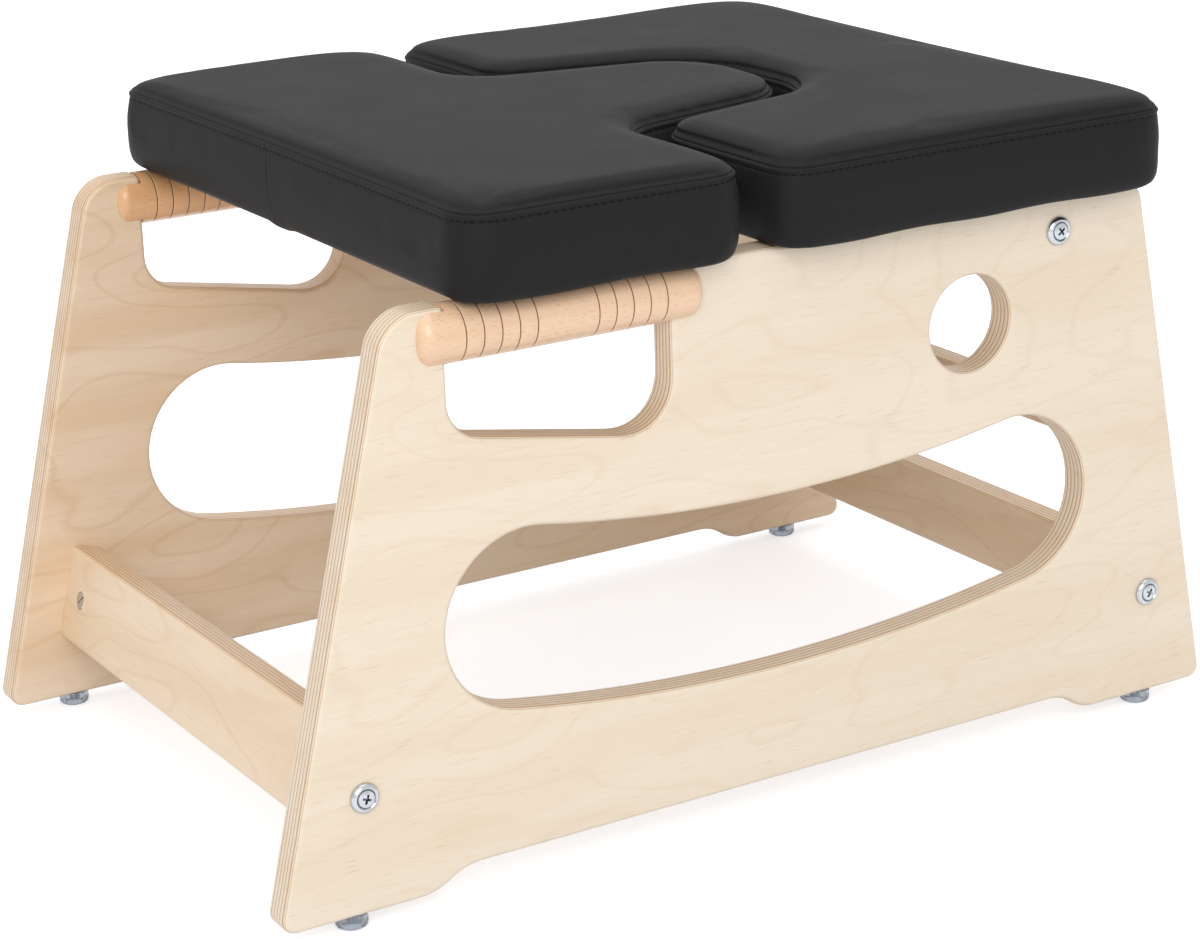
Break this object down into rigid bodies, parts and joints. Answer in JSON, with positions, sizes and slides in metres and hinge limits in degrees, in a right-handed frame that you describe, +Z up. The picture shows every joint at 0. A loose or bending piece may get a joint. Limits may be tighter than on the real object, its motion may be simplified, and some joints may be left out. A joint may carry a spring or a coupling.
{
  "type": "yoga headstand stool",
  "caption": "Wooden inversion stool with side hand grips, a U-shaped shoulder cushion and a lift-off cushion whose tongue closes the neck recess, turning it into a bench.",
  "frame": {"origin": "on the floor under the middle of the side panels' base length, half way between the panels", "axes": "+X from the grip end to the rear, +Y from the near panel to the far panel, +Z up"},
  "size_m": [0.5908, 0.4144, 0.3603],
  "materials": {
    "birch_ply": "satin clear lacquer",
    "rail_ply": "satin clear lacquer",
    "beech": "gloss clear varnish",
    "dowel_beech": "bare turned and sawn wood",
    "leatherette": "semi-matte grained leatherette",
    "foam": "open-cell foam",
    "cushion_board": "bare plywood",
    "zinc": "bright zinc plate",
    "clear_foot": "smoky clear moulding"
  },
  "bodies": {
    "frame": {"side_panel_near": "birch_ply", "grip_near": "beech", "glide_foot_front_near": "clear_foot", "foot_screw_front_near": "zinc", "glide_foot_rear_near": "clear_foot", "foot_screw_rear_near": "zinc", "side_panel_far": "birch_ply", "grip_far": "beech", "glide_foot_front_far": "clear_foot", "foot_screw_front_far": "zinc", "glide_foot_rear_far": "clear_foot", "foot_screw_rear_far": "zinc", "front_rail": "rail_ply", "dowel_front_near": "dowel_beech", "barrel_nut_front_near": "zinc", "bolt_front_near": "zinc", "cup_washer_front_near": "zinc", "dowel_front_far": "dowel_beech", "barrel_nut_front_far": "zinc", "bolt_front_far": "zinc", "cup_washer_front_far": "zinc", "rear_rail": "rail_ply", "dowel_rear_near": "dowel_beech", "barrel_nut_rear_near": "zinc", "bolt_rear_near": "zinc", "cup_washer_rear_near": "zinc", "dowel_rear_far": "dowel_beech", "barrel_nut_rear_far": "zinc", "bolt_rear_far": "zinc", "cup_washer_rear_far": "zinc", "top_rear_rail": "rail_ply", "dowel_top_near": "dowel_beech", "barrel_nut_top_near": "zinc", "bolt_top_near": "zinc", "cup_washer_top_near": "zinc", "dowel_top_far": "dowel_beech", "barrel_nut_top_far": "zinc", "bolt_top_far": "zinc", "cup_washer_top_far": "zinc", "rear_stretcher": "rail_ply", "dowel_stretcher_near": "dowel_beech", "dowel_stretcher_far": "dowel_beech", "rear_cushion_cover": "leatherette", "rear_cushion_foam": "foam", "rear_cushion_board": "cushion_board", "cushion_screw_near": "zinc", "cushion_screw_far": "zinc"},
    "front_cushion": {"front_cushion_cover": "leatherette", "front_cushion_foam": "foam", "front_cushion_board": "cushion_board", "batten_near": "dowel_beech", "batten_screw_near_front": "zinc", "batten_screw_near_rear": "zinc", "batten_far": "dowel_beech", "batten_screw_far_front": "zinc", "batten_screw_far_rear": "zinc"}
  },
  "joints": [
    {"name": "front_cushion_lift", "type": "slide", "parent": "frame", "child": "front_cushion", "axis": [0, 0, 1], "range_m": [0, 0.12]}
  ]
}
